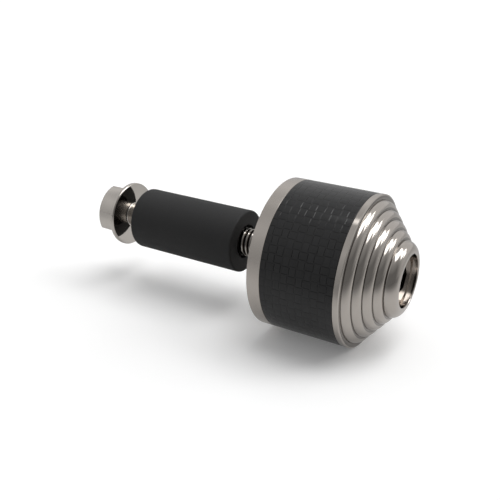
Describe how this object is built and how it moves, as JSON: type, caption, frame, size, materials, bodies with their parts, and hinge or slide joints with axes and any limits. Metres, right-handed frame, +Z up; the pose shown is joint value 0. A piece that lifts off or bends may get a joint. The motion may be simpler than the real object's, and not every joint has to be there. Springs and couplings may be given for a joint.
{
  "type": "bar end weight",
  "caption": "Motorbike handlebar end weight: carbon sleeved steel barrel with a stepped ridged nose, and a rubber expander on a flanged draw bolt.",
  "frame": {"origin": "on the axis, in the plane of the end disc's rear face, which meets the handlebar's end", "axes": "+X along the axis towards the nose, +Z up as it lies on its barrel"},
  "size_m": [0.0935, 0.04, 0.04],
  "materials": {
    "nose_steel": "polished",
    "carbon_weave": "woven fibre under clear gloss",
    "disc_steel": "satin polished",
    "nut_steel": "polished",
    "bolt_steel": "polished",
    "plug_rubber": "matte"
  },
  "bodies": {
    "weight": {"weight_body": "nose_steel", "carbon_sleeve": "carbon_weave", "end_disc": "disc_steel"},
    "nut": {"socket_nut": "nut_steel"},
    "bolt": {"draw_bolt": "bolt_steel"},
    "plug": {"expander_plug": "plug_rubber"}
  },
  "joints": [
    {"name": "bolt_draw", "type": "slide", "parent": "weight", "child": "bolt", "axis": [1, 0, 0], "range_m": [-0.005, 0.0175]},
    {"name": "nut_turn", "type": "hinge", "parent": "weight", "child": "nut", "pos_m": [0.029, 0, 0], "axis": [-1, 0, 0], "range_deg": [-1440.1, 5040.1]},
    {"name": "plug_slip", "type": "slide", "parent": "weight", "child": "plug", "axis": [1, 0, 0], "range_m": [-0.00337, 0.01176]}
  ],
  "couplings": [
    {"joint": "nut_turn", "follows": "bolt_draw", "rad_per_m": 5026.5},
    {"joint": "plug_slip", "follows": "bolt_draw", "ratio": 0.67143}
  ]
}
